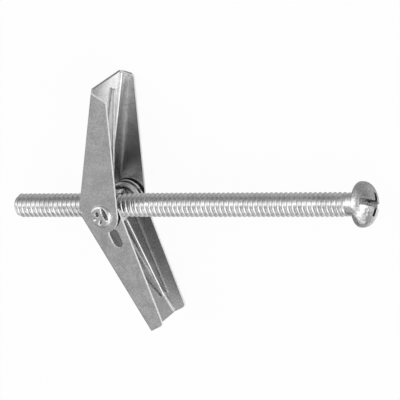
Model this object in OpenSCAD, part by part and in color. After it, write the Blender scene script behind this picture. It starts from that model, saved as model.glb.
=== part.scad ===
// Spring toggle bolt: a round head machine screw, a trunnion nut and two
// spring-opened sheet wings that fold along the screw to pass a drilled hole.
// Units are millimetres. The origin is where the screw's axis crosses the pivot
// axis of the wings. +X runs along the screw to its head, +Z along the pivot axis.

/* [Screw] */
// Outside diameter of the screw thread
thread_d = 4.82; // [4:0.02:5]
// Pitch of the thread
thread_pitch = 1.058; // [0.9:0.002:1.2]
// Depth of the thread
thread_depth = 0.56; // [0.4:0.02:0.64]
// Length of the screw under its head
screw_len = 77; // [60:1:120]
// How far the screw reaches past the pivot axis
screw_reach = 23; // [12:1:34]
// Diameter of the plain neck under the head
neck_d = 4.6; // [4:0.1:4.7]
// Length of the plain neck under the head
neck_len = 2.1; // [1:0.1:4]
// Depth of the chamfer at the screw's point
point_chamfer = 0.7; // [0.3:0.1:1]
// Diameter of the round head
head_d = 8.9; // [8.4:0.1:10]
// Height of the round head
head_h = 3.4; // [3:0.1:3.8]
// Rounding of the head's lower rim
head_rim_r = 0.3; // [0.1:0.05:0.5]
// Width of the straight driver slot
slot_w = 1.3; // [1:0.1:1.6]
// Depth of the straight driver slot
slot_depth = 1.7; // [1.2:0.1:2]
// Angle of the driver slot about the screw's axis
slot_angle = 21; // [0:1:90]
// Width of the cross recess across its wings
cross_d = 5.4; // [4.6:0.1:6]
// Width of each wing of the cross recess
cross_w = 0.95; // [0.7:0.05:1.2]
// Depth of the cross recess
cross_depth = 2.7; // [2.2:0.1:2.9]

/* [Nut] */
// Diameter of the nut's boss that the screw passes through
boss_d = 6.4; // [6:0.1:7.3]
// Thickness of the boss between its two flats
boss_flat = 2.8; // [2.4:0.1:4.5]
// Least wall of the boss beside the tapped hole
boss_wall = 0.06; // [0.05:0.01:0.3]
// Diameter of the necks beside the boss
nut_neck_d = 4.3; // [4:0.1:5]
// Diameter of the journals that carry the wings
journal_d = 3.6; // [3:0.1:4]
// Diameter of the staked buttons at the journals' ends
stake_d = 4.75; // [4.4:0.05:5.2]
// Height of the staked buttons
stake_h = 0.7; // [0.3:0.05:0.9]
// Width of the grooves that the staking punch leaves
stake_groove_w = 0.8; // [0.5:0.1:1]

/* [Wings] */
// Thickness of the wing sheet
sheet_t = 0.5; // [0.4:0.05:1]
// Inside radius of the two long bends
bend_r = 0.15; // [0.1:0.05:0.6]
// Length of the wide wing from the pivot to the tip
wide_len = 26.5; // [20:0.5:32]
// Length of the narrow wing from the pivot to the tip
narrow_len = 25.6; // [20:0.5:32]
// Radius of the cheeks' round end about the pivot
cheek_r = 3.5; // [3.2:0.1:3.6]
// Distance of the web's outer face from the pivot at the heel
web_heel = 5.35; // [4.8:0.05:5.6]
// Distance of the web's outer face from the centre line at the tip
web_tip = 2.15; // [1.6:0.05:2.4]
// Distance of the cheeks' free edge from the centre line at the tip
free_tip = 1.0; // [0.6:0.1:1.6]
// Where the wide wing's heel corner lies, measured from the pivot along the wing
wide_heel = 0.9; // [0.6:0.1:1.5]
// Where the narrow wing's heel corner lies, measured from the pivot along the wing
narrow_heel = -1.3; // [-1.5:0.1:1.5]
// Rounding of the cheeks' outer corner at the tip
tip_r = 0.8; // [0.3:0.1:1]
// Angle at which the tips are cut
tip_cut = 7; // [0:1:12]
// Angle at which one cheek of the wide wing is trimmed
tip_trim = 23; // [12:1:28]
// How far that trim is set back from the web's tip
trim_back = 0.8; // [0.2:0.1:1.2]
// Radius of the bend reliefs at the tip
relief_r = 0.2; // [0.1:0.05:0.3]
// Width of the assembly slot in the narrow wing
cheek_slot_w = 2.4; // [2:0.1:2.8]
// Near end of the assembly slot, measured from the pivot
cheek_slot_from = 3.3; // [3:0.1:4]
// Far end of the assembly slot, measured from the pivot
cheek_slot_to = 7.45; // [6.5:0.05:9]

/* [Spring] */
// Diameter of the spring wire
wire_d = 0.64; // [0.5:0.02:0.9]
// Inside diameter of the coil
coil_d = 5.7; // [5:0.1:6]
// Full turns of the coil, beside the part turn between the two legs
full_turns = 2; // [1:1:3]
// How far the wide wing's spring leg reaches along the wing
wide_leg = 23.6; // [16:0.2:24]
// How far the narrow wing's spring leg reaches along the wing
narrow_leg = 21.5; // [15:0.5:23]
// Offset of the wide wing's leg end from the middle of the web
wide_leg_side = 2.6; // [0.5:0.1:3.6]
// Offset of the narrow wing's leg end from the middle of the web
narrow_leg_side = 3.8; // [1:0.1:4.1]
// How far round the coil the wire runs before it leaves for the narrow wing
coil_exit = 228; // [205:1:232]
// Distance of the narrow wing's leg from the wing's centre line after its bend
leg_line = 1.35; // [1:0.05:1.6]
// Radius of the bend in the narrow wing's leg
leg_bend_r = 2; // [1.5:0.1:2.5]

/* [Pose] */
// Angle of the wide wing from the screw
wide_angle = 78.5; // [60:0.5:80]
// Angle of the narrow wing from the screw
narrow_angle = 73; // [60:0.5:80]

/* [Fits] */
// Radial gap between the screw thread and the nut
thread_gap = 0.03; // [0.01:0.01:0.05]
// Radial gap between the journals and the wings' holes
journal_gap = 0.05; // [0.02:0.01:0.1]
// Side gap between neighbouring pieces on the pivot axis
side_gap = 0.05; // [0.02:0.01:0.08]
// Gap between the two wings' cheeks
nest_gap = 0.54; // [0.1:0.02:0.8]
// Gap between the spring and the pieces it lies on
spring_gap = 0.03; // [0.01:0.01:0.05]
// Gap between the screw and the ends of the webs that stop against it
stop_gap = 0.03; // [0.02:0.01:0.1]

/* [Hidden] */
$fn = 72;

// How far a cutter runs past the face that it cuts
past = 1;

// Screw
thread_r = thread_d / 2;
head_r = head_d / 2;
bearing_x = screw_len - screw_reach;
// The head's side is one arc, and its crown a larger arc that runs on from it
side_share = 0.43;
side_r = side_share * head_r;
side_z = 0.6;
side_x = head_r - side_r;
crown_r = (pow(side_x, 2) + pow(head_h - side_z, 2) - pow(side_r, 2)) / (2 * (head_h - side_z - side_r));
crown_z = head_h - crown_r;
crown_lean = atan2(side_x, side_z - crown_z);
cross_point_r = 0.55;

// Thread: each step of its profile is a share of the pitch along the screw, and a
// share of the thread's depth. Its sides are as many as the facets allow.
thread_len = screw_len - neck_len;
crest_share = 1 / 8;
root_share = 1 / 4;
root_from = (1 + crest_share - root_share) / 2;
thread_profile = [[0, 0], [crest_share, 0], [root_from, 1], [root_from + root_share, 1]];
thread_steps = len(thread_profile);
thread_turns = ceil(thread_len / thread_pitch) + 2;
thread_rows = thread_steps * thread_turns;
thread_facets = 11500;
thread_sides = floor(thread_facets / (2 * thread_rows));
thread_from = -screw_reach - 1.5 * thread_pitch;
function thread_point(row, side) =
    let (
        step = thread_profile[row % thread_steps],
        turn = floor(row / thread_steps) + side / thread_sides,
        r = thread_r - thread_depth * step[1]
    )
    [r * cos(360 * turn), r * sin(360 * turn), thread_from + thread_pitch * (turn + step[0])];

// Number of a point of the thread: one turn on, a side meets the row a pitch ahead
function thread_at(row, side) =
    side < thread_sides ? row * thread_sides + side : (row + thread_steps) * thread_sides;
function fan(rim, tip) = [for (k = [0 : len(rim) - 1]) [rim[k], rim[(k + 1) % len(rim)], tip]];

// Wings, in their own plane: u runs from the pivot to the tip, v to the open side
web_slope = (web_heel - web_tip) / wide_len;
web_lean = atan(web_slope);
web_length = 2 * max(wide_len, narrow_len);
web_t = sheet_t / cos(web_lean);
function web_v(u) = -web_heel + web_slope * u;

// Where the web of a wing open at this angle starts, so that it stops at the screw
function web_from(angle) =
    (thread_r + stop_gap - (web_heel - web_t) * cos(angle)) / (sin(angle) - web_slope * cos(angle));

// Direction at an angle, cross product, and where two lines meet
function along(a) = [cos(a), sin(a)];
function cross2(a, b) = a[0] * b[1] - a[1] * b[0];
function meet(p, d, q, e) = p + d * cross2(q - p, e) / cross2(d, e);

// Angle at which a line from the point p touches a circle of radius r about the
// pivot, on the side of the sign given
function touch_angle(p, r, side) = atan2(p[1], p[0]) + side * acos(r / norm(p));

// Free edge: it touches the round end and runs to the tip of the wide wing
free_point = [wide_len, free_tip];
free_touch = touch_angle(free_point, cheek_r, 1);
free_dir = along(free_touch - 90);
free_in = -along(free_touch);

// Spring
wire_r = wire_d / 2;
coil_r = (coil_d + wire_d) / 2;
function leg_v(u) = web_v(u) + web_t + (spring_gap + wire_r) / cos(web_lean);
function wide_point(p) = [
    p[0] * cos(wide_angle) + p[1] * sin(wide_angle),
    p[0] * sin(wide_angle) - p[1] * cos(wide_angle),
    p[2]
];
function narrow_point(p) = [
    p[0] * cos(narrow_angle) + p[1] * sin(narrow_angle),
    p[1] * cos(narrow_angle) - p[0] * sin(narrow_angle),
    p[2]
];

// Wide wing's leg: straight from its end on the web to the coil
wide_end = [wide_leg, leg_v(wide_leg), -wide_leg_side];
wide_touch = touch_angle([wide_end[0], wide_end[1]], coil_r, -1);
wide_start = coil_r * along(wide_touch);
coil_from = wide_angle - wide_touch;
coil_to = 360 * full_turns + coil_exit;
coil_turns = (coil_to - coil_from) / 360;
coil_len = coil_turns * (wire_d + spring_gap);

// Stations along the pivot axis, from the screw's axis outward
boss_half = thread_r + thread_gap + boss_wall;
coil_near = boss_half + spring_gap + wire_r;
coil_far = coil_near + coil_len;
narrow_in = coil_far + wire_r + spring_gap;
narrow_out = narrow_in + sheet_t;
wide_in = narrow_out + nest_gap;
wide_out = wide_in + sheet_t;
neck_end = narrow_in - side_gap;
stake_from = wide_out + side_gap;
stake_top = stake_from + stake_h;

coil_steps = 30 * (full_turns + 1);
coil_path = [
    for (i = [0 : coil_steps])
        let (a = coil_from + (coil_to - coil_from) * i / coil_steps)
        [coil_r * cos(a), coil_r * sin(a), coil_len * i / coil_steps - coil_far]
];

// That leg stays level until it is past the coil, and then slants across the web
wide_run = [wide_end[0], wide_end[1]] - wide_start;
leg_level = sqrt(pow(coil_r + wire_d + spring_gap, 2) - pow(coil_r, 2));
level_end = wide_start + leg_level * wide_run / norm(wide_run);

// Narrow wing's leg: off the coil at a tangent, one bend, then along the wing
narrow_end = [narrow_leg, leg_v(narrow_leg)];
exit_heading = coil_exit + narrow_angle - 270;
exit_point = coil_r * along(coil_exit + narrow_angle - 360);
bend_point = exit_point + along(exit_heading) * (-leg_line - exit_point[1]) / sin(exit_heading);
leg_heading = atan2(narrow_end[1] - bend_point[1], narrow_end[0] - bend_point[0]);
bend_turn = exit_heading - leg_heading;
bend_cut = leg_bend_r * tan(bend_turn / 2);
bend_from = bend_point - bend_cut * along(exit_heading);
bend_centre = bend_from + leg_bend_r * along(exit_heading - 90);
bend_steps = 5;
function leg_z(p) = (coil_near - narrow_leg_side) * norm(p - bend_from) / norm(narrow_end - bend_from) - coil_near;
bend_path = [
    for (i = [0 : bend_steps])
        let (p = bend_centre + leg_bend_r * along(exit_heading + 90 - bend_turn * i / bend_steps))
        narrow_point([p[0], p[1], leg_z(p)])
];
spring_path = concat(
    [wide_point(wide_end), wide_point([level_end[0], level_end[1], -coil_far])],
    coil_path,
    bend_path,
    [narrow_point([narrow_end[0], narrow_end[1], -narrow_leg_side])]
);

// Ring of points round the wire at step i of a path
function unit(v) = v / norm(v);
function heading(path, i) = unit(path[min(i + 1, len(path) - 1)] - path[max(i - 1, 0)]);
function ring(path, i, r, sides) =
    let (t = heading(path, i), n = unit(cross(t, [0, 0, 1])), m = cross(n, t))
    [for (k = [0 : sides - 1]) path[i] + r * (cos(360 * k / sides) * n + sin(360 * k / sides) * m)];

// A round wire of radius r swept along a path
module wire(path, r, sides) {
    rings = len(path);
    points = [for (i = [0 : rings - 1]) each ring(path, i, r, sides)];
    walls = [
        for (i = [0 : rings - 2])
            for (k = [0 : sides - 1])
                let (a = i * sides + k, b = i * sides + (k + 1) % sides)
                [a, a + sides, b + sides, b]
    ];
    near_cap = [for (k = [0 : sides - 1]) k];
    far_cap = [for (k = [sides - 1 : -1 : 0]) (rings - 1) * sides + k];
    polyhedron(points = points, faces = concat(walls, [near_cap, far_cap]));
}

// Half section of the round head, with its bearing face on z = 0
module head_section() {
    intersection() {
        square([head_r, head_h]);
        union() {
            intersection() {
                translate([0, crown_z]) circle(r = crown_r);
                polygon([
                    [0, crown_z],
                    [2 * crown_r * sin(crown_lean), crown_z + 2 * crown_r * cos(crown_lean)],
                    [0, crown_z + 2 * crown_r]
                ]);
            }
            translate([side_x, side_z]) circle(r = side_r);
            translate([0, head_rim_r]) square([head_r, side_z - head_rim_r]);
            square([head_r - head_rim_r, side_z]);
            translate([head_r - head_rim_r, head_rim_r]) circle(r = head_rim_r);
        }
    }
}

// Driver recess: a straight slot across the head, and a cross let in deeper
module driver_recess() {
    translate([-head_d, -slot_w / 2, head_h - slot_depth]) cube([2 * head_d, slot_w, slot_depth + past]);
    intersection() {
        translate([0, 0, head_h - cross_depth])
            cylinder(r1 = cross_point_r, r2 = cross_d / 2, h = cross_depth);
        union() {
            translate([-cross_d / 2, -cross_w / 2, 0]) cube([cross_d, cross_w, head_h + past]);
            translate([-cross_w / 2, -cross_d / 2, 0]) cube([cross_w, cross_d, head_h + past]);
            cylinder(r = cross_w, h = head_h + past);
        }
    }
}

// Rod with a helical thread, a little longer at both ends than the screw's thread
module threaded_rod() {
    last = thread_sides - 1;
    points = [
        for (row = [0 : thread_rows])
            for (side = [0 : last])
                thread_point(row, side)
    ];
    tips = [[0, 0, thread_from + thread_pitch / 2], [0, 0, thread_from + thread_pitch * (thread_turns + 0.5)]];
    walls = [
        for (side = [0 : last])
            for (row = [0 : thread_rows - 1 - (side < last ? 0 : thread_steps)])
                let (
                    a = thread_at(row, side),
                    b = thread_at(row + 1, side),
                    c = thread_at(row + 1, side + 1),
                    d = thread_at(row, side + 1)
                )
                each [[a, b, d], [b, c, d]]
    ];
    near_rim = concat(
        [for (side = [0 : thread_sides]) thread_at(0, side)],
        [for (row = [thread_steps - 1 : -1 : 1]) thread_at(row, 0)]
    );
    far_rim = concat(
        [for (side = [last : -1 : 0]) thread_at(thread_rows, side)],
        [for (row = [thread_rows - thread_steps : thread_rows - 1]) thread_at(row, last)]
    );
    near_cap = fan(near_rim, len(points));
    far_cap = fan(far_rim, len(points) + 1);
    polyhedron(points = concat(points, tips), faces = concat(walls, near_cap, far_cap), convexity = 10);
}

module machine_screw() {
    color([0.8, 0.8, 0.79])
    rotate([0, 90, 0]) {
        // The thread is cut to length, with a chamfer at the screw's point
        intersection() {
            threaded_rod();
            union() {
                translate([0, 0, -screw_reach])
                    cylinder(r1 = thread_r - point_chamfer, r2 = thread_r + past, h = point_chamfer + past);
                translate([0, 0, point_chamfer + past - screw_reach])
                    cylinder(r = thread_r + past, h = thread_len - point_chamfer - past);
            }
        }
        // The plain neck runs out into the last of the thread
        translate([0, 0, bearing_x - neck_len - thread_depth])
            cylinder(d = neck_d, h = neck_len + thread_depth + side_z);
        translate([0, 0, bearing_x]) difference() {
            rotate_extrude() head_section();
            rotate([0, 0, -slot_angle]) driver_recess();
        }
    }
}

// Cross that the staking punch leaves in a button, cut down from z = 0
mark_r = 0.4 * stake_d;
module stake_mark() {
    intersection() {
        union() {
            for (turn = [0, 90])
                rotate([0, 0, turn + slot_angle]) rotate([45, 0, 0])
                    cube([stake_d, stake_groove_w * sqrt(0.5), stake_groove_w * sqrt(0.5)], center = true);
        }
        cylinder(r = mark_r, h = 2 * stake_h, center = true);
    }
}

// One end of the nut: neck, journal and staked button, from the boss outward
module nut_end() {
    cylinder(d = nut_neck_d, h = neck_end);
    cylinder(d = journal_d, h = stake_top - stake_h / 2);
    difference() {
        union() {
            translate([0, 0, stake_from]) cylinder(d = stake_d, h = stake_h / 2);
            translate([0, 0, stake_from + stake_h / 2])
                cylinder(d1 = stake_d, d2 = stake_d - stake_h, h = stake_h / 2);
        }
        translate([0, 0, stake_top]) stake_mark();
    }
}

module trunnion_nut() {
    color([0.7, 0.7, 0.69])
    difference() {
        union() {
            intersection() {
                rotate([0, 90, 0]) cylinder(d = boss_d, h = boss_flat, center = true);
                cube([2 * boss_flat, 2 * boss_d, 2 * boss_half], center = true);
            }
            nut_end();
            mirror([0, 0, 1]) nut_end();
        }
        rotate([0, 90, 0]) cylinder(r = thread_r + thread_gap, h = 2 * boss_d, center = true);
    }
}

// Side outline of a wing: the tip is cut at an angle and rounded into the free edge
module cheek_outline(len, heel) {
    heel_point = [heel, web_v(heel)];
    heel_touch = touch_angle(heel_point, cheek_r, -1);
    tip_corner = [len, web_v(len)];
    tip_in = along(180 + tip_cut);
    round_centre = meet(
        free_point + tip_r * free_in, free_dir,
        tip_corner + tip_r * tip_in, along(90 + tip_cut)
    );
    circle(r = cheek_r);
    translate(round_centre) circle(r = tip_r);
    polygon([
        [0, 0],
        cheek_r * along(heel_touch),
        heel_point,
        tip_corner,
        round_centre - tip_r * tip_in,
        round_centre,
        round_centre - tip_r * free_in,
        cheek_r * along(free_touch)
    ]);
}

// Rectangle that is open on its far side, with its two near corners rounded
module bent_section(width, r) {
    translate([0, r - width / 2]) square([web_length, width - 2 * r]);
    translate([r, -width / 2]) square([web_length, width]);
    translate([r, r - width / 2]) circle(r = r);
    translate([r, width / 2 - r]) circle(r = r);
}

// Folded channel of the width given: its web leans with the wing's taper
module channel(width) {
    translate([0, -web_heel, 0]) rotate([0, 0, web_lean]) translate([-cheek_r - past, 0, 0])
        rotate([90, 0, 90]) linear_extrude(web_length) difference() {
            bent_section(width, bend_r + sheet_t);
            translate([sheet_t, 0]) bent_section(width - 2 * sheet_t, bend_r);
        }
}

// A wing in its own plane, with the pivot on the Z axis
module wing(half_w, len, heel, open_angle) {
    width = 2 * half_w;
    inner = half_w - sheet_t;
    difference() {
        intersection() {
            channel(width);
            translate([0, 0, -width]) linear_extrude(2 * width) cheek_outline(len, heel);
        }
        cylinder(r = journal_d / 2 + journal_gap, h = 2 * width, center = true);
        // The web stops short of the pivot, where its end meets the screw
        translate([-web_length, -2 * web_heel, -inner])
            cube([web_length + web_from(open_angle), 2 * web_heel, 2 * inner]);
        // Reliefs at the tip keep the two bends from tearing
        for (side = [-1, 1])
            translate([len, web_v(len), side * (inner + sheet_t / 2)])
                rotate([90, 0, web_lean]) cylinder(r = relief_r, h = 4 * sheet_t, center = true);
    }
}

module wide_wing() {
    color([0.72, 0.73, 0.73])
    rotate([0, 0, wide_angle]) mirror([0, 1, 0])
    difference() {
        wing(wide_out, wide_len, wide_heel, wide_angle);
        // One cheek's tip is trimmed at a slant, and half of its bend with it
        translate([wide_len - trim_back, web_v(wide_len - trim_back), wide_in - bend_r / 2])
            rotate([0, 0, tip_trim]) translate([0, -web_heel, 0]) cube([wide_len, 2 * web_heel, wide_out]);
    }
}

module narrow_wing() {
    slot_r = cheek_slot_w / 2;
    color([0.68, 0.69, 0.7])
    rotate([0, 0, -narrow_angle])
    difference() {
        wing(narrow_out, narrow_len, narrow_heel, narrow_angle);
        // Slot in one cheek, through which the nut is tilted in
        translate([cheek_slot_from + slot_r, 0, narrow_in - past]) cylinder(r = slot_r, h = sheet_t + 2 * past);
        translate([cheek_slot_to - slot_r, 0, narrow_in - past]) cylinder(r = slot_r, h = sheet_t + 2 * past);
        translate([cheek_slot_from + slot_r, -slot_r, narrow_in - past])
            cube([cheek_slot_to - cheek_slot_from - cheek_slot_w, cheek_slot_w, sheet_t + 2 * past]);
    }
}

module torsion_spring() {
    color([0.6, 0.6, 0.6]) wire(spring_path, wire_r, 10);
}

machine_screw();
trunnion_nut();
wide_wing();
narrow_wing();
torsion_spring();
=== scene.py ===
"""Looks of a spring toggle bolt: screw, trunnion nut, two sheet wings and their torsion spring."""

import logging
import math
from dataclasses import dataclass
from enum import Enum
from typing import Any, Sequence

import bmesh
import bpy
from mathutils import Matrix, Vector


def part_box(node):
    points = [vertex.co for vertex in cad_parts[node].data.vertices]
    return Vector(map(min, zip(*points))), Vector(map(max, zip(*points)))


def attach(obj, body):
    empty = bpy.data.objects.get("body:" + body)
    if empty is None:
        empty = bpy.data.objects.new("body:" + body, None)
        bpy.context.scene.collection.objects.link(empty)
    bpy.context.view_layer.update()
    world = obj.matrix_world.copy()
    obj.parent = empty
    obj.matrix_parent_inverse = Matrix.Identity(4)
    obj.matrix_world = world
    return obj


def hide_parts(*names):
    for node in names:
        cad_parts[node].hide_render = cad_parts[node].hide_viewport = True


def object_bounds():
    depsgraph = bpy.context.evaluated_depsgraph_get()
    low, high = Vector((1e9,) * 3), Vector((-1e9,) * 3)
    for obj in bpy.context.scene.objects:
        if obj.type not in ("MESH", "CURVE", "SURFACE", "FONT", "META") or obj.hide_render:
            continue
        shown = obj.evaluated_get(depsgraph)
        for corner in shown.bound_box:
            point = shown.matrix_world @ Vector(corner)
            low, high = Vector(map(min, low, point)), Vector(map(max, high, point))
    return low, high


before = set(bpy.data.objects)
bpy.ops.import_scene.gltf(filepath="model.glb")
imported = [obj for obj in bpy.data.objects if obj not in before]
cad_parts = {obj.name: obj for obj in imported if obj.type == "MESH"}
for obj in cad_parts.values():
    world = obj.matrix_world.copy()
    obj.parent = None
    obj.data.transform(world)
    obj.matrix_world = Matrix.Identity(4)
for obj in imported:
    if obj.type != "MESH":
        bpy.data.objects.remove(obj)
CAD_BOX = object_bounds()
LOG = logging.getLogger("toggle_bolt")

MM = 0.001
# Points that lie closer than this are one point
WELD = 0.5e-6
# Faces that lie closer to one plane than this, in degrees, are one face
FLAT = 0.4
# Angle of each wing from the screw, in degrees
WIDE_TURN = 78.5
NARROW_TURN = -73.0

Point = tuple[float, float, float]
Stops = tuple[tuple[float, float], ...]


class Body(Enum):
    """Rigid bodies of the mechanism."""

    SCREW = "screw"
    NUT = "nut"
    WIDE_WING = "wide wing"
    NARROW_WING = "narrow wing"


class Slot(Enum):
    """Material slots of the record."""

    SCREW = "screw_zinc"
    NUT = "nut_zinc"
    WING = "wing_zinc"
    SPRING = "spring_wire"


# ---------------------------------------------------------------- node trees


class Sock:
    """A node's output that takes part in Python expressions."""

    def __init__(self, maker: "NodeMaker", socket: Any) -> None:
        """Keep the socket with the maker that adds nodes beside it."""
        self.maker = maker
        self.socket = socket

    def math(self, operation: str, *others: Any, clamp: bool = False) -> "Sock":
        """Add a Math node.

        Args:
            operation: the Math node's operation.
            others: the second and third operands, as sockets or numbers.
            clamp: whether the result is kept between 0 and 1.

        Returns:
            The node's result.
        """
        settings = {"operation": operation, "use_clamp": clamp}
        return self.maker.node("ShaderNodeMath", settings, dict(enumerate((self, *others))))

    def _reflected(self, operation: str, other: float) -> "Sock":
        """Add a Math node whose first operand is a number."""
        return self.maker.node("ShaderNodeMath", {"operation": operation}, {0: other, 1: self})

    def __add__(self, other: Any) -> "Sock":
        """self + other."""
        return self.math("ADD", other)

    def __radd__(self, other: float) -> "Sock":
        """other + self."""
        return self.math("ADD", other)

    def __sub__(self, other: Any) -> "Sock":
        """self - other."""
        return self.math("SUBTRACT", other)

    def __rsub__(self, other: float) -> "Sock":
        """other - self."""
        return self._reflected("SUBTRACT", other)

    def __mul__(self, other: Any) -> "Sock":
        """self * other."""
        return self.math("MULTIPLY", other)

    def __rmul__(self, other: float) -> "Sock":
        """other * self."""
        return self.math("MULTIPLY", other)

    def __truediv__(self, other: Any) -> "Sock":
        """self / other."""
        return self.math("DIVIDE", other)

    def __abs__(self) -> "Sock":
        """abs(self)."""
        return self.math("ABSOLUTE")

    def lowest(self, other: Any) -> "Sock":
        """The lower of the two."""
        return self.math("MINIMUM", other)

    def highest(self, other: Any) -> "Sock":
        """The higher of the two."""
        return self.math("MAXIMUM", other)

    def kept(self) -> "Sock":
        """The value kept between 0 and 1."""
        return self.math("ADD", 0.0, clamp=True)


class NodeMaker:
    """Adds nodes to one tree, and links them."""

    def __init__(self, tree: Any) -> None:
        """Keep the tree."""
        self.tree = tree

    def node(self, kind: str, settings: dict | None = None, inputs: dict | None = None,
             out: int | str = 0) -> Sock:
        """Add a node.

        Args:
            kind: the node's type.
            settings: its properties, and "stops" for a colour ramp's (place, grey) pairs.
            inputs: values or sockets by the input's name or number.
            out: the name or number of the output that is returned.

        Returns:
            That output.
        """
        made = self.tree.nodes.new(kind)
        for name, value in (settings or {}).items():
            if name == "stops":
                ramp = made.color_ramp
                while len(ramp.elements) < len(value):
                    ramp.elements.new(0.5)
                for element, (place, grey) in zip(ramp.elements, value):
                    element.position = place
                    element.color = (grey, grey, grey, 1.0)
            else:
                setattr(made, name, value)
        for name, value in (inputs or {}).items():
            if isinstance(value, Sock):
                self.tree.links.new(value.socket, made.inputs[name])
            else:
                made.inputs[name].default_value = value
        return Sock(self, made.outputs[out] if len(made.outputs) else None)

    def mix(self, factor: Any, low: Any, high: Any) -> Sock:
        """Mix two colours.

        Args:
            factor: share of the second colour.
            low: first colour, as a socket or (r, g, b).
            high: second colour.

        Returns:
            The mixed colour.
        """
        first, second = [c if isinstance(c, Sock) else (*c, 1.0) for c in (low, high)]
        return self.node("ShaderNodeMix", {"data_type": "RGBA"}, {0: factor, 6: first, 7: second}, 2)

    def ramp(self, stops: Stops, factor: Sock) -> Sock:
        """Read a grey off a colour ramp of (place, grey) stops."""
        return self.node("ShaderNodeValToRGB", {"stops": stops}, {"Fac": factor})

    def noise(self, at: Sock, per_m: float, **inputs: float) -> Sock:
        """Add a noise that changes so many times in a metre."""
        return self.node("ShaderNodeTexNoise", None, {"Vector": at, "Scale": per_m, **inputs})

    def part(self, vector: Sock, axis: str) -> Sock:
        """One component of a vector."""
        return self.node("ShaderNodeSeparateXYZ", None, {"Vector": vector}, axis)


class ShapeTree(NodeMaker):
    """A Geometry Nodes tree with named inputs, run once on an object."""

    def __init__(self, name: str, inputs: dict[str, float]) -> None:
        """Make the tree.

        Args:
            name: the tree's name.
            inputs: its named inputs and their values, in metres or counts.
        """
        super().__init__(bpy.data.node_groups.new(name, "GeometryNodeTree"))
        face = self.tree.interface
        face.new_socket(name="Geometry", in_out="INPUT", socket_type="NodeSocketGeometry")
        self.values: dict[str, float] = {}
        for title, value in inputs.items():
            kind = "NodeSocketInt" if isinstance(value, int) else "NodeSocketFloat"
            made = face.new_socket(name=title, in_out="INPUT", socket_type=kind)
            self.values[made.identifier] = value
        face.new_socket(name="Geometry", in_out="OUTPUT", socket_type="NodeSocketGeometry")
        self.entry = self.tree.nodes.new("NodeGroupInput")

    def size(self, title: str) -> Sock:
        """The named input."""
        return Sock(self, self.entry.outputs[title])

    def close(self, shape: Sock, material: bpy.types.Material) -> None:
        """End the tree in Realize Instances and Set Material."""
        real = self.node("GeometryNodeRealizeInstances", None, {"Geometry": shape})
        dressed = self.node("GeometryNodeSetMaterial", None, {"Geometry": real, "Material": material})
        end = self.tree.nodes.new("NodeGroupOutput")
        self.tree.links.new(dressed.socket, end.inputs["Geometry"])

    def run(self, name: str, source: Any) -> bpy.types.Object:
        """Run the tree on an object's data and keep the result as a plain mesh.

        Args:
            name: the new piece's name.
            source: mesh or curve data that the tree starts from.

        Returns:
            The piece.
        """
        carrier = bpy.data.objects.new(name + "_carrier", source)
        bpy.context.scene.collection.objects.link(carrier)
        modifier = carrier.modifiers.new("shape", "NODES")
        modifier.node_group = self.tree
        for identifier, value in self.values.items():
            modifier[identifier] = value
        graph = bpy.context.evaluated_depsgraph_get()
        mesh = bpy.data.meshes.new_from_object(carrier.evaluated_get(graph), depsgraph=graph)
        bpy.data.objects.remove(carrier)
        return add_piece(name, mesh)


# ------------------------------------------------------------ mesh utilities


def add_piece(name: str, mesh: bpy.types.Mesh) -> bpy.types.Object:
    """Put a mesh in the scene as a piece with this name."""
    mesh.name = name
    piece = bpy.data.objects.new(name, mesh)
    bpy.context.scene.collection.objects.link(piece)
    return piece


def crease(bm: bmesh.types.BMesh, angle: float) -> None:
    """Shade smooth, and sharp across edges that turn more than the angle in degrees."""
    limit = math.radians(angle)
    for face in bm.faces:
        face.smooth = True
    for edge in bm.edges:
        edge.smooth = len(edge.link_faces) == 2 and edge.calc_face_angle(math.pi) < limit


def welded(node: str) -> bmesh.types.BMesh:
    """Copy a CAD node's mesh with its doubles merged and its flat faces joined.

    Args:
        node: the CAD node.

    Returns:
        The copy, which the caller frees.
    """
    bm = bmesh.new()
    bm.from_mesh(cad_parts[node].data)
    bmesh.ops.remove_doubles(bm, verts=bm.verts, dist=WELD)
    bmesh.ops.dissolve_limit(bm, angle_limit=math.radians(FLAT), verts=bm.verts, edges=bm.edges)
    return bm


def finish_mesh(bm: bmesh.types.BMesh, name: str, angle: float = 28.0,
                materials: Sequence[bpy.types.Material] = ()) -> bpy.types.Object:
    """Turn an edited copy into a piece.

    Args:
        bm: the copy, which is freed.
        name: the piece's name.
        angle: edges that turn more than this many degrees are sharp.
        materials: its materials, in the order of its faces' numbers.

    Returns:
        The piece.
    """
    bmesh.ops.recalc_face_normals(bm, faces=bm.faces)
    crease(bm, angle)
    mesh = bpy.data.meshes.new(name)
    bm.to_mesh(mesh)
    bm.free()
    for material in materials:
        mesh.materials.append(material)
    return add_piece(name, mesh)


def from_tree(raw: bpy.types.Object) -> bmesh.types.BMesh:
    """Take the mesh off a tree's raw result, for one material of its own."""
    bm = bmesh.new()
    bm.from_mesh(raw.data)
    bpy.data.objects.remove(raw)
    for face in bm.faces:
        face.material_index = 0
    return bm


def round_edges(piece: bpy.types.Object, width: float, angle: float = 32.0) -> None:
    """Round a piece's sharp edges with a live Bevel.

    Args:
        piece: the piece.
        width: the bevel's width in metres.
        angle: edges that turn more than this many degrees are rounded.
    """
    bevel = piece.modifiers.new("edge_round", "BEVEL")
    bevel.width = width
    bevel.segments = 2
    bevel.limit_method = "ANGLE"
    bevel.angle_limit = math.radians(angle)
    bevel.harden_normals = True
    bevel.use_clamp_overlap = True


def place(piece: bpy.types.Object, body: Body, slot: Slot, *nodes: str) -> bpy.types.Object:
    """Let a piece ride on a body, and let it stand for CAD nodes."""
    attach(piece, body.value)
    if nodes:
        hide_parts(*nodes)
    return piece


# ------------------------------------------------------------------ finishes


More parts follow.
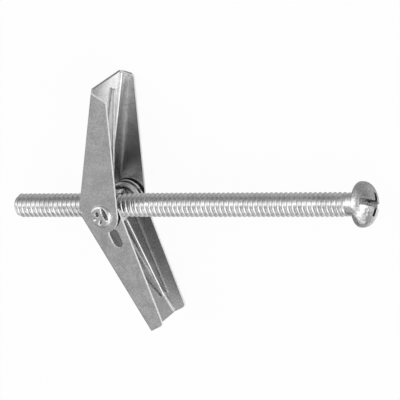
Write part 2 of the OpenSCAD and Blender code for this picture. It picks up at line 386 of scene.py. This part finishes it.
@dataclass(frozen=True)
class Plating:
    """A metal surface: its greys, its gloss and the fine marks on it."""

    name: str
    dark: float
    light: float
    gloss: tuple[float, float]
    # Clouds and grain, in changes a metre, and how much each moves the grey and the gloss
    cloud_per_m: float = 420.0
    grain_per_m: float = 2600.0
    cloud_tint: float = 1.6
    grain_tint: float = 2.6
    cloud_gloss: float = 0.45
    bump: float = 0.25
    bump_depth: float = 0.02 * MM
    metal: float = 1.0
    # Painted shade near the pivot, where the channel lies in shade, and painted light toward the tip:
    # how the grey is scaled at the pivot and at the tip of a wing
    painted_shade_by_pivot: tuple[float, float] = (1.0, 1.0)
    tip_at: float = 25.0 * MM
    # Unevenness of the metal itself, against its grain, and in changes a metre
    lumps: float = 0.0
    lumps_per_m: float = 500.0

    def material(self) -> bpy.types.Material:
        """Build the material.

        Returns:
            A material that reads Object coordinates.
        """
        material = bpy.data.materials.new(self.name)
        material.use_nodes = True
        material.node_tree.nodes.clear()
        make = NodeMaker(material.node_tree)
        place_of = make.node("ShaderNodeTexCoord", out="Object")
        cloud = make.noise(place_of, self.cloud_per_m, Detail=3.0, Roughness=0.55)
        grain = make.noise(place_of, self.grain_per_m, Detail=2.0, Roughness=0.6)
        clouded = (cloud - 0.5) * self.cloud_tint
        spread = (clouded + (grain - 0.5) * self.grain_tint + 0.5).kept()
        tint = make.mix(spread, [self.dark] * 3, [self.light] * 3)
        near, far = self.painted_shade_by_pivot
        if near != far:
            # Painted shade: the grey is scaled down near the pivot, where the channel lies in shade,
            # and up toward the tips as painted light
            out = make.node("ShaderNodeVectorMath", {"operation": "LENGTH"}, {0: place_of}, "Value")
            painted_shade_scale = near + (far - near) * (out / self.tip_at).kept()
            scaled = {0: tint, "Scale": painted_shade_scale}
            tint = make.node("ShaderNodeVectorMath", {"operation": "SCALE"}, scaled)
        low, high = self.gloss
        marks = self.cloud_gloss * cloud + (1.0 - self.cloud_gloss) * grain
        rough = (low + (high - low) * marks).kept()
        height = grain
        if self.lumps:
            # Cold heading leaves the metal a little uneven under its plating
            lump = make.noise(place_of, self.lumps_per_m, Detail=2.0, Distortion=0.6)
            height = grain + lump * self.lumps
        bump = make.node("ShaderNodeBump", None, {
            "Strength": self.bump, "Distance": self.bump_depth, "Height": height,
        })
        shader = make.node("ShaderNodeBsdfPrincipled", None, {
            "Base Color": tint, "Metallic": self.metal, "Roughness": rough, "Normal": bump,
        })
        make.node("ShaderNodeOutputMaterial", None, {"Surface": shader})
        return material


SCREW_ZINC = Plating("screw_zinc_bright", 0.66, 0.9, (0.1, 0.24), bump=0.15)
# Same zinc as the shank, painted greyer: painted shade against the brighter light on the head
HEAD_ZINC_SHADED = Plating("head_zinc_bright_painted_shade", 0.45, 0.82, (0.12, 0.26), bump=0.5,
                    lumps=50.0, lumps_per_m=260.0)
# Darker than the head's plating: painted shade in the driver recess
RECESS_SHADE = Plating("recess_zinc_painted_shade", 0.16, 0.5, (0.22, 0.4))
NUT_ZINC = Plating("nut_zinc_staked", 0.6, 0.85, (0.1, 0.26))
# Near black: painted shade in the deep parts of the punch marks
PUNCH_SHADE = Plating("nut_punch_painted_shade", 0.06, 0.2, (0.2, 0.4))
SHEET_ZINC = Plating("sheet_zinc_satin", 0.55, 0.77, (0.14, 0.3))
# Inner faces of the wings: painted shade near the pivot, and on the wide wing painted light toward
# the tip
WIDE_INSIDE_SHADED = Plating("wide_zinc_inside_painted_shade", 0.6, 0.78, (0.18, 0.32), painted_shade_by_pivot=(0.7, 1.2))
NARROW_INSIDE_SHADED = Plating("narrow_zinc_inside_painted_shade", 0.6, 0.78, (0.16, 0.3), painted_shade_by_pivot=(0.55, 0.97))
# Near white and hardly metal: painted highlight on the wings' cut edges and their rounded rims
EDGE_PAINTED_HIGHLIGHT = Plating("edge_painted_highlight", 0.92, 1.0, (0.3, 0.5), metal=0.1)
WIRE_STEEL = Plating("wire_steel_drawn", 0.7, 0.9, (0.12, 0.26), bump=0.1)


# --------------------------------------------------------------------- screw


@dataclass
class MachineScrew:
    """Round head machine screw with a right-hand thread, in metres."""

    crest_r: float = 2.41 * MM
    depth: float = 0.56 * MM
    pitch: float = 1.058 * MM
    neck_r: float = 2.3 * MM
    neck_length: float = 2.1 * MM
    head_height: float = 3.4 * MM
    chamfer: float = 0.7 * MM
    steps_a_pitch: int = 12
    steps_a_turn: int = 36
    # Where the helix starts before the point, and its flats and its run-out, in pitches
    lead_in: float = 2.1875
    crest_at: float = 0.875
    flank: float = 0.625
    run_out: float = 1.2
    seat_overlap: float = 0.5 * MM
    # The head's slot is set a little further round than the bare part's
    head_turn: float = -10.0
    head_edge: float = 0.12 * MM
    # The recess: how far in from the head's two ends it can lie, its floor's least
    # depth, and how its floor and walls face
    recess_in: tuple[float, float] = (0.4 * MM, 0.1 * MM)
    floor_depth: float = 0.8 * MM
    floor_facing: float = 0.98
    wall_facing: tuple[float, float] = (0.75, 0.55)

    def thread_tree(self, material: bpy.types.Material) -> ShapeTree:
        """Build the tree that winds a grid into the threaded shank.

        Args:
            material: the shank's material.

        Returns:
            The tree.
        """
        low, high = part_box("machine_screw")
        bearing = high[0] - self.head_height
        tree = ShapeTree("threaded_shank", {
            "Point": low[0],
            "End": bearing + self.seat_overlap,
            "Thread end": bearing - self.neck_length,
            "Crest radius": self.crest_r,
            "Thread depth": self.depth,
            "Pitch": self.pitch,
            "Neck radius": self.neck_r,
            "Chamfer": self.chamfer,
            "Steps a pitch": self.steps_a_pitch,
            "Steps a turn": self.steps_a_turn,
        })
        point, end, pitch = tree.size("Point"), tree.size("End"), tree.size("Pitch")
        steps, around = tree.size("Steps a pitch"), tree.size("Steps a turn")
        rows = ((end - point) / pitch * steps + 2 * steps).math("CEIL") + 3
        grid = tree.node("GeometryNodeMeshGrid", None, {
            "Size X": rows - 1, "Size Y": around + 0, "Vertices X": rows, "Vertices Y": around + 1,
        })
        at = tree.node("GeometryNodeInputPosition")
        row = (tree.part(at, "X") + (rows - 1) / 2).math("ROUND")
        turn = (tree.part(at, "Y") + around / 2).math("ROUND") / around
        free_x = point - self.lead_in * pitch + row / steps * pitch + turn * pitch
        x = free_x.highest(point).lowest(end)
        # The profile: 1 on the crest and 0 at the root, with flats on both
        ridge = abs((row / steps).math("FRACT") * 2 - 1)
        sunk = ((self.crest_at - ridge) / self.flank).kept()
        thread_r = tree.size("Crest radius") - sunk * tree.size("Thread depth")
        fade = ((tree.size("Thread end") - x) / (self.run_out * pitch)).kept()
        neck = tree.size("Neck radius")
        r = neck + (thread_r - neck) * fade
        r = r.lowest(tree.size("Crest radius") - tree.size("Chamfer") + (x - point))
        # The first and last rows close the ends
        first = row.math("LESS_THAN", 0.5)
        last = row.math("GREATER_THAN", rows - 1.5)
        r = r * (1 - first) * (1 - last)
        angle = turn * (2 * math.pi)
        y, z = r * angle.math("COSINE"), r * angle.math("SINE")
        wound = tree.node("ShaderNodeCombineXYZ", None, {"X": x, "Y": y, "Z": z})
        shank = tree.node("GeometryNodeSetPosition", None, {"Geometry": grid, "Position": wound})
        merge = {"Geometry": shank, "Distance": 2 * WELD}
        tree.close(tree.node("GeometryNodeMergeByDistance", None, merge), material)
        return tree

    def shank(self) -> bpy.types.Object:
        """Make the threaded shank and its neck."""
        material = SCREW_ZINC.material()
        raw = self.thread_tree(material).run("screw_shank_raw", bpy.data.meshes.new("shank_seed"))
        piece = finish_mesh(from_tree(raw), "screw_shank", 40.0, [material])
        return place(piece, Body.SCREW, Slot.SCREW, "machine_screw")

    def in_recess(self, face: bmesh.types.BMFace, bearing: float, top: float) -> bool:
        """Whether a face of the head belongs to the driver recess.

        Args:
            face: the face.
            bearing: where the head begins along the screw.
            top: where it ends.

        Returns:
            True for the recess's floor and walls.
        """
        middle, normal = face.calc_center_median(), face.normal
        if not bearing + self.recess_in[0] < middle.x < top - self.recess_in[1]:
            return False
        if normal.x > self.floor_facing:
            return middle.x < top - self.floor_depth
        out = Vector((0.0, middle.y, middle.z)).normalized()
        up, outward = self.wall_facing
        return normal.x < up and normal.dot(out) < outward

    def head(self) -> bpy.types.Object:
        """Make the round head with its driver recess, closed where it meets the neck."""
        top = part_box("machine_screw")[1][0]
        bearing = top - self.head_height
        bm = welded("machine_screw")
        shank = [v for v in bm.verts if v.co.x < bearing - 0.01 * MM]
        bmesh.ops.delete(bm, geom=shank, context="VERTS")
        bmesh.ops.holes_fill(bm, edges=[e for e in bm.edges if e.is_boundary])
        turned = Matrix.Rotation(math.radians(self.head_turn), 3, "X")
        bmesh.ops.rotate(bm, verts=bm.verts, cent=(0.0, 0.0, 0.0), matrix=turned)
        bmesh.ops.recalc_face_normals(bm, faces=bm.faces)
        for face in bm.faces:
            # The recess takes the darker finish: painted shade
            face.material_index = 1 if self.in_recess(face, bearing, top) else 0
        finishes = [HEAD_ZINC_SHADED.material(), RECESS_SHADE.material()]
        piece = finish_mesh(bm, "screw_head", materials=finishes)
        round_edges(piece, self.head_edge)
        return place(piece, Body.SCREW, Slot.SCREW, "machine_screw")

    def build(self) -> list[bpy.types.Object]:
        """Build the screw's pieces."""
        return [self.shank(), self.head()]


# ----------------------------------------------------------------------- nut


@dataclass
class TrunnionNut:
    """Nut whose staked journals carry the wings, in metres and radians."""

    edge: float = 0.08 * MM
    button_r: float = 2.375 * MM
    button_from: float = 6.2477 * MM
    flange: float = 0.1 * MM
    rings: int = 30
    rays: int = 72
    # How square the button's shoulder and the marks' floors are, and the depth from
    # which a mark gets painted shade
    shoulder: float = 7.0
    mark_floor: float = 1.5
    shade_from: float = 0.16 * MM
    # Each punch mark: place across and up, half sizes, turn and depth
    marks: tuple[tuple[float, float, float, float, float, float], ...] = (
        (-0.55 * MM, 0.55 * MM, 0.42 * MM, 0.55 * MM, -0.4, 0.45 * MM),
        (1.1 * MM, 0.55 * MM, 0.5 * MM, 1.5 * MM, 0.3, 0.5 * MM),
        (-0.1 * MM, -1.1 * MM, 0.3 * MM, 0.75 * MM, -0.5, 0.22 * MM),
        (-1.3 * MM, -0.4 * MM, 0.6 * MM, 0.3 * MM, 0.4, 0.15 * MM),
    )

    def dent(self, x: float, y: float) -> float:
        """How deep the punch went in at a place on a button."""
        deepest = 0.0
        for px, py, half_x, half_y, turn, depth in self.marks:
            c, s = math.cos(turn), math.sin(turn)
            u = ((x - px) * c + (y - py) * s) / half_x
            v = ((y - py) * c - (x - px) * s) / half_y
            deepest = max(deepest, depth * max(0.0, 1.0 - (u * u + v * v) ** self.mark_floor))
        return deepest

    def button(self, name: str, top: float, side: float) -> bpy.types.Object:
        """Make one staked button with its punch marks.

        Args:
            name: the piece's name.
            top: how far out the button reaches.
            side: 1 or -1, the side of the nut.

        Returns:
            The button.
        """
        height = top - self.button_from
        bm = bmesh.new()
        rows = []
        for ring in range(self.rings + 1):
            r = self.button_r * math.sin(0.5 * math.pi * ring / self.rings)
            crown = height * (1.0 - (r / self.button_r) ** self.shoulder) ** 0.5
            row = []
            for ray in range(self.rays if ring else 1):
                a = 2 * math.pi * ray / self.rays
                x, y = r * math.cos(a), r * math.sin(a)
                z = self.button_from + max(crown - self.dent(x, y), 0.0)
                row.append(bm.verts.new((x, y, side * z)))
            rows.append(row)
        for inner, outer in zip(rows, rows[1:]):
            for ray in range(self.rays):
                after = (ray + 1) % self.rays
                if len(inner) == 1:
                    corners = (inner[0], outer[ray], outer[after])
                else:
                    corners = (inner[ray], outer[ray], outer[after], inner[after])
                face = bm.faces.new(corners)
                middle = face.calc_center_median()
                # Deep parts of the marks take painted shade
                face.material_index = 1 if self.dent(middle.x, middle.y) > self.shade_from else 0
        bm.faces.new(rows[-1])
        piece = finish_mesh(bm, name, 60.0, [NUT_ZINC.material(), PUNCH_SHADE.material()])
        return place(piece, Body.NUT, Slot.NUT, "trunnion_nut")

    def build(self) -> list[bpy.types.Object]:
        """Build the nut and its two buttons."""
        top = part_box("trunnion_nut")[1][2]
        bm = welded("trunnion_nut")
        sunk = self.button_from + self.flange
        for vert in bm.verts:
            vert.co.z = max(-sunk, min(sunk, vert.co.z))
        bmesh.ops.remove_doubles(bm, verts=bm.verts, dist=WELD)
        piece = finish_mesh(bm, "nut", materials=[NUT_ZINC.material()])
        round_edges(piece, self.edge)
        return [
            place(piece, Body.NUT, Slot.NUT, "trunnion_nut"),
            self.button("nut_button_near", top, 1.0),
            self.button("nut_button_far", top, -1.0),
        ]


# --------------------------------------------------------------------- wings


@dataclass
class Wing:
    """A folded sheet wing: satin faces, painted shade inside near the pivot, and cut edges with a
    painted highlight.
    """

    node: str
    body: Body
    turn: float
    side: float
    # Finish of the inner faces, with painted shade near the pivot
    inside: Plating
    inner: float
    fillet_ends: tuple[float, float]
    web_lean: float = 6.885
    edge: float = 0.19 * MM
    # The web's inner face at the pivot, and the radius inside the two bends
    web_in: float = -4.846 * MM
    fillet_r: float = 0.62 * MM
    fillet_root: float = 0.12 * MM
    fillet_steps: int = 8
    # The near bend ends short of the tip, where one cheek is trimmed
    near_short: float = 1.6 * MM
    # How a cheek, a web and the end of the sheet face, as least shares
    cheek_facing: float = 0.08
    web_facing: float = math.cos(math.radians(5.0))
    tip_facing: float = 0.95

    def finish_of(self, normal: Vector, middle: Vector) -> int:
        """Number of the finish of a face: satin outside, inside with painted shade near the pivot, or
        a cut edge with a painted highlight.

        Args:
            normal: the face's normal.
            middle: the face's middle.

        Returns:
            0, 1 or 2 in that order.
        """
        a = math.radians(self.turn)
        along = Vector((math.cos(a), math.sin(a), 0.0))
        across = Vector((self.side * along.y, -self.side * along.x, 0.0))
        lean = math.radians(self.web_lean)
        web = across * math.cos(lean) - along * math.sin(lean)
        if abs(normal.z) > self.cheek_facing:
            return 1 if normal.z * middle.z < 0 else 0
        if abs(normal.dot(web)) > self.web_facing:
            return 1 if normal.dot(web) > 0 else 0
        return 0 if normal.dot(along) > self.tip_facing else 2

    def set_out(self, u: float, v: float, z: float) -> Point:
        """A point given along and across the wing, in the frame."""
        a = math.radians(self.turn)
        c, s = math.cos(a), math.sin(a)
        return (u * c + self.side * v * s, u * s - self.side * v * c, z)

    def fillet(self, name: str, side: float, tip: float) -> bpy.types.Object:
        """Make the rounding inside one bend.

        Args:
            name: the piece's name.
            side: 1 or -1, the side of the wing.
            tip: where it ends along the wing.

        Returns:
            The rounding, rooted in the sheet.
        """
        lean = math.radians(self.web_lean)
        root, r = -self.fillet_root, self.fillet_r
        arc = [0.5 * math.pi * n / self.fillet_steps for n in range(self.fillet_steps + 1)]
        curve = [(r - r * math.sin(t), r - r * math.cos(t)) for t in arc]
        section = [(root, root), (r, root), *curve, (root, r)]
        bm = bmesh.new()
        rims = []
        for u in (self.fillet_ends[0], tip):
            v = self.web_in + u * math.tan(lean)
            rims.append([
                bm.verts.new(self.set_out(u - up * math.sin(lean), v + up * math.cos(lean),
                                          side * (self.inner - across)))
                for across, up in section
            ])
        count = len(section)
        for n in range(count):
            after = (n + 1) % count
            bm.faces.new((rims[0][n], rims[0][after], rims[1][after], rims[1][n]))
        for rim in rims:
            bm.faces.new(rim)
        # The rounding takes the inside finish with its painted shade
        piece = finish_mesh(bm, name, materials=[self.inside.material()])
        return place(piece, self.body, Slot.WING, self.node)

    def build(self) -> list[bpy.types.Object]:
        """Build the wing's sheet and the roundings inside its bends."""
        bm = welded(self.node)
        bm.normal_update()
        for face in bm.faces:
            face.material_index = self.finish_of(face.normal, face.calc_center_median())
        finishes = [finish.material() for finish in (SHEET_ZINC, self.inside, EDGE_PAINTED_HIGHLIGHT)]
        piece = finish_mesh(bm, self.node + "_sheet", materials=finishes)
        round_edges(piece, self.edge)
        # The rounded rims take the cut edges' painted highlight
        piece.modifiers["edge_round"].material = 2
        return [
            place(piece, self.body, Slot.WING, self.node),
            self.fillet(self.node + "_bend_near", 1.0, self.fillet_ends[1] - self.near_short),
            self.fillet(self.node + "_bend_far", -1.0, self.fillet_ends[1]),
        ]


# -------------------------------------------------------------------- spring


@dataclass
class TorsionSpring:
    """Spring wire: a coil on the nut's far neck and a leg on each wing, in metres and degrees."""

    wire_r: float = 0.32 * MM
    coil_r: float = 3.17 * MM
    # The coil's first and last angle, and its height at each
    wind: tuple[float, float] = (164.784, 948.0)
    level: tuple[float, float] = (-4.3077 * MM, -2.85 * MM)
    arc_step: float = 6.0
    sides: int = 14
    # Each leg keeps an arc inside the coil, a little thinner, that folding draws out
    fold: float = 74.0
    hidden: float = 0.97
    wide_leg: tuple[Point, ...] = (
        (2.3681 * MM, -3.0229 * MM, -4.3077 * MM), (23.6 * MM, -1.644 * MM, -2.6 * MM),
    )
    bend: tuple[float, float] = (3.9081 * MM, -1.35 * MM)
    bend_r: float = 2.0 * MM
    bend_steps: int = 6
    narrow_end: Point = (21.5 * MM, -1.8976 * MM, -3.8 * MM)

    def coil_point(self, angle: float) -> Point:
        """A point of the coil's centre line at an angle in degrees."""
        share = (angle - self.wind[0]) / (self.wind[1] - self.wind[0])
        a = math.radians(angle)
        z = self.level[0] + (self.level[1] - self.level[0]) * share
        return (self.coil_r * math.cos(a), self.coil_r * math.sin(a), z)

    def arc(self, first: float, last: float) -> list[Point]:
        """Points of the coil between two angles."""
        steps = max(2, round(abs(last - first) / self.arc_step))
        return [self.coil_point(first + (last - first) * n / steps) for n in range(steps + 1)]

    def on_wide(self, p: Point) -> Point:
        """A point given along and across the wide wing, in the frame."""
        c, s = math.cos(math.radians(WIDE_TURN)), math.sin(math.radians(WIDE_TURN))
        return (p[0] * c + p[1] * s, p[0] * s - p[1] * c, p[2])

    def on_narrow(self, p: Point) -> Point:
        """A point given along and across the narrow wing, in the frame."""
        c, s = math.cos(math.radians(-NARROW_TURN)), math.sin(math.radians(-NARROW_TURN))
        return (p[0] * c + p[1] * s, p[1] * c - p[0] * s, p[2])

    def narrow_path(self) -> list[Point]:
        """Centre line of the narrow wing's leg, from the coil past its bend to its end."""
        a = math.radians(self.wind[1] - 360.0 - NARROW_TURN)
        start = Vector((self.coil_r * math.cos(a), self.coil_r * math.sin(a)))
        corner, end = Vector(self.bend), Vector(self.narrow_end[:2])
        into, out = (corner - start).normalized(), (end - corner).normalized()
        half = into.angle(out) / 2
        cut = self.bend_r * math.tan(half)
        first, last = corner - into * cut, corner + out * cut
        points = []
        for n in range(self.bend_steps + 1):
            t = n / self.bend_steps
            points.append(first.lerp(corner, t).lerp(corner.lerp(last, t), t))
        base = self.level[1]
        slope = (self.narrow_end[2] - base) / (end - first).length
        way = [(p.x, p.y, base + slope * (p - first).length) for p in (*points, end)]
        return [self.on_narrow(p) for p in ((start.x, start.y, base), *way)]

    def wire(self, name: str, path: Sequence[Point], radius: float) -> bpy.types.Object:
        """Sweep the wire along a path.

        Args:
            name: the piece's name.
            path: points of its centre line.
            radius: the wire's radius.

        Returns:
            The piece.
        """
        curve = bpy.data.curves.new(name + "_line", "CURVE")
        curve.dimensions = "3D"
        spline = curve.splines.new("POLY")
        spline.points.add(len(path) - 1)
        for point, place_of in zip(spline.points, path):
            point.co = (*place_of, 1.0)
        tree = ShapeTree(name + "_sweep", {"Wire radius": radius, "Sides": self.sides})
        ring = tree.node("GeometryNodeCurvePrimitiveCircle", {"mode": "RADIUS"},
                         {"Resolution": tree.size("Sides"), "Radius": tree.size("Wire radius")})
        line = Sock(tree, tree.entry.outputs["Geometry"])
        swept = tree.node("GeometryNodeCurveToMesh", None,
                          {"Curve": line, "Profile Curve": ring, "Fill Caps": True})
        material = WIRE_STEEL.material()
        tree.close(swept, material)
        bm = from_tree(tree.run(name + "_raw", curve))
        bmesh.ops.remove_doubles(bm, verts=bm.verts, dist=WELD)
        return finish_mesh(bm, name, 40.0, [material])

    def build(self) -> list[bpy.types.Object]:
        """Build the coil and the two legs, each with the arc that it draws out of the coil."""
        first, last = self.wind
        thin = self.wire_r * self.hidden
        coil = self.wire("spring_coil", self.arc(first, last), self.wire_r)
        wide = [*self.arc(first + self.fold, first), *[self.on_wide(p) for p in self.wide_leg]]
        wide_leg = self.wire("spring_leg_wide", wide, thin)
        narrow = [*self.arc(last - self.fold, last)[:-1], *self.narrow_path()]
        narrow_leg = self.wire("spring_leg_narrow", narrow, thin)
        return [
            place(coil, Body.NUT, Slot.SPRING, "torsion_spring"),
            place(wide_leg, Body.WIDE_WING, Slot.SPRING, "torsion_spring"),
            place(narrow_leg, Body.NARROW_WING, Slot.SPRING, "torsion_spring"),
        ]


# -------------------------------------------------------------------- studio


@dataclass(frozen=True)
class Lamp:
    """A square softbox that faces the bolt."""

    name: str
    toward: Point
    distance: float
    size: float
    glow: float

    def hang(self, aim: Vector) -> None:
        """Hang the lamp, with its power from the glow of its face."""
        data = bpy.data.lights.new(self.name, "AREA")
        data.size = self.size
        data.energy = self.glow * math.pi * self.size ** 2
        lamp = bpy.data.objects.new(self.name, data)
        direction = Vector(self.toward).normalized()
        lamp.location = aim + direction * self.distance
        lamp.rotation_euler = direction.to_track_quat("Z", "Y").to_euler()
        bpy.context.scene.collection.objects.link(lamp)


@dataclass
class Studio:
    """Camera, pale floor, softboxes and grey surroundings."""

    aim: Point = (0.01447, -0.00211, -0.00813)
    distance: float = 0.5923
    back: Point = (0.48492, 0.31344, 0.81646)
    up: Point = (0.00276, 0.93301, -0.35983)
    lens: float = 267.3
    floor_half: float = 1.2
    floor_paint: float = 0.85
    floor_glow: float = 0.95
    # Greys that metal sees: in the floor across the screw, and in the room around the
    # screw's axis, toward its point and toward its head
    floor_grade: Stops = ((0.0, 0.45), (0.35, 0.95), (0.55, 0.5), (0.85, 0.3))
    grade_reach: float = 0.02
    around_point: Stops = (
        (0.0, 0.15), (0.3, 0.3), (0.46, 0.3), (0.51, 0.42), (0.57, 0.7), (0.6, 1.0), (0.63, 1.4),
        (0.69, 1.5), (0.73, 1.0), (0.76, 0.6), (0.79, 0.5), (0.87, 0.5), (0.93, 0.3), (1.0, 0.15),
    )
    around_head: Stops = (
        (0.0, 0.6), (0.3, 0.4), (0.46, 0.3), (0.55, 0.4), (0.64, 0.6), (0.72, 0.72), (0.78, 1.1),
        (0.82, 1.6), (0.87, 1.55), (0.92, 1.15), (1.0, 0.9),
    )
    turnover: float = 0.35
    lamps: tuple[Lamp, ...] = (
        Lamp("softbox_key", (-0.3, 0.35, 0.8), 0.6, 0.25, 0.3),
        Lamp("softbox_right", (0.97, 0.08, 0.2), 0.5, 0.28, 1.0),
    )

    def camera(self) -> None:
        """Set up the camera."""
        data = bpy.data.cameras.new("camera")
        data.lens = self.lens
        data.sensor_width = 36.0
        data.clip_start = 0.01
        data.clip_end = 10.0
        camera = bpy.data.objects.new("camera", data)
        bpy.context.scene.collection.objects.link(camera)
        back, up = Vector(self.back).normalized(), Vector(self.up)
        right = up.cross(back).normalized()
        up = back.cross(right)
        camera.matrix_world = Matrix([
            [right.x, up.x, back.x, self.aim[0] + back.x * self.distance],
            [right.y, up.y, back.y, self.aim[1] + back.y * self.distance],
            [right.z, up.z, back.z, self.aim[2] + back.z * self.distance],
            [0.0, 0.0, 0.0, 1.0],
        ])
        bpy.context.scene.camera = camera

    def floor(self) -> None:
        """Lay the pale floor under the bolt."""
        h, z = self.floor_half, CAD_BOX[0][2]
        mesh = bpy.data.meshes.new("floor")
        mesh.from_pydata([(-h, -h, z), (h, -h, z), (h, h, z), (-h, h, z)], [], [(0, 1, 2, 3)])
        floor = add_piece("floor", mesh)
        material = bpy.data.materials.new("floor_pale")
        material.use_nodes = True
        material.node_tree.nodes.clear()
        make = NodeMaker(material.node_tree)
        seen = make.node("ShaderNodeLightPath", out="Is Camera Ray")
        gloss = make.node("ShaderNodeLightPath", out="Is Glossy Ray")
        through = make.node("ShaderNodeLightPath", out="Is Transmission Ray")
        paint = make.node("ShaderNodeBsdfDiffuse", None, {"Color": (*[self.floor_paint] * 3, 1.0)})
        back = make.part(make.node("ShaderNodeTexCoord", out="Object"), "Y")
        grade = make.ramp(self.floor_grade, (back / (2 * self.grade_reach) + 0.5).kept())
        strength = grade * gloss + (1 - gloss)
        glow = make.node("ShaderNodeEmission", None,
                         {"Color": (1.0, 1.0, 1.0, 1.0), "Strength": strength})
        share = (seen + gloss + through).kept() * self.floor_glow
        both = make.node("ShaderNodeMixShader", None, {0: share, 1: paint, 2: glow})
        make.node("ShaderNodeOutputMaterial", None, {"Surface": both})
        mesh.materials.append(material)

    def surroundings(self) -> None:
        """Fill the room with soft grey light, white where the camera looks past the floor."""
        world = bpy.data.worlds.new("room")
        bpy.context.scene.world = world
        world.use_nodes = True
        world.node_tree.nodes.clear()
        make = NodeMaker(world.node_tree)
        seen = make.node("ShaderNodeLightPath", out="Is Camera Ray")
        way = make.node("ShaderNodeTexCoord", out="Generated")
        # Angle about the screw's axis: 0.5 toward +Y, 0.75 straight up
        turn = make.part(way, "Z").math("ARCTAN2", make.part(way, "Y")) / (2 * math.pi) + 0.5
        at_point = make.ramp(self.around_point, turn)
        at_head = make.ramp(self.around_head, turn)
        toward_head = (make.part(way, "X") / (2 * self.turnover) + 0.5).kept()
        grey = make.mix(toward_head, at_point, at_head)
        white = make.mix(seen, grey, (1.0, 1.0, 1.0))
        back = make.node("ShaderNodeBackground", None, {"Color": white, "Strength": 1.0})
        make.node("ShaderNodeOutputWorld", None, {"Surface": back})

    def build(self) -> None:
        """Set up the studio."""
        bpy.context.scene.view_settings.view_transform = "Standard"
        self.camera()
        self.floor()
        self.surroundings()
        for lamp in self.lamps:
            lamp.hang(Vector(self.aim))


def main() -> None:
    """Build the bolt piece by piece."""
    logging.basicConfig(level=logging.INFO, format="%(name)s: %(message)s")
    Studio().build()
    makers = (
        MachineScrew(),
        TrunnionNut(),
        Wing("wide_wing", Body.WIDE_WING, WIDE_TURN, 1.0, WIDE_INSIDE_SHADED, 5.6977 * MM,
             (2.2 * MM, 26.1 * MM)),
        Wing("narrow_wing", Body.NARROW_WING, NARROW_TURN, -1.0, NARROW_INSIDE_SHADED, 4.6577 * MM,
             (1.8 * MM, 25.2 * MM)),
        TorsionSpring(),
    )
    for maker in makers:
        for piece in maker.build():
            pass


if __name__ == "__main__":
    main()
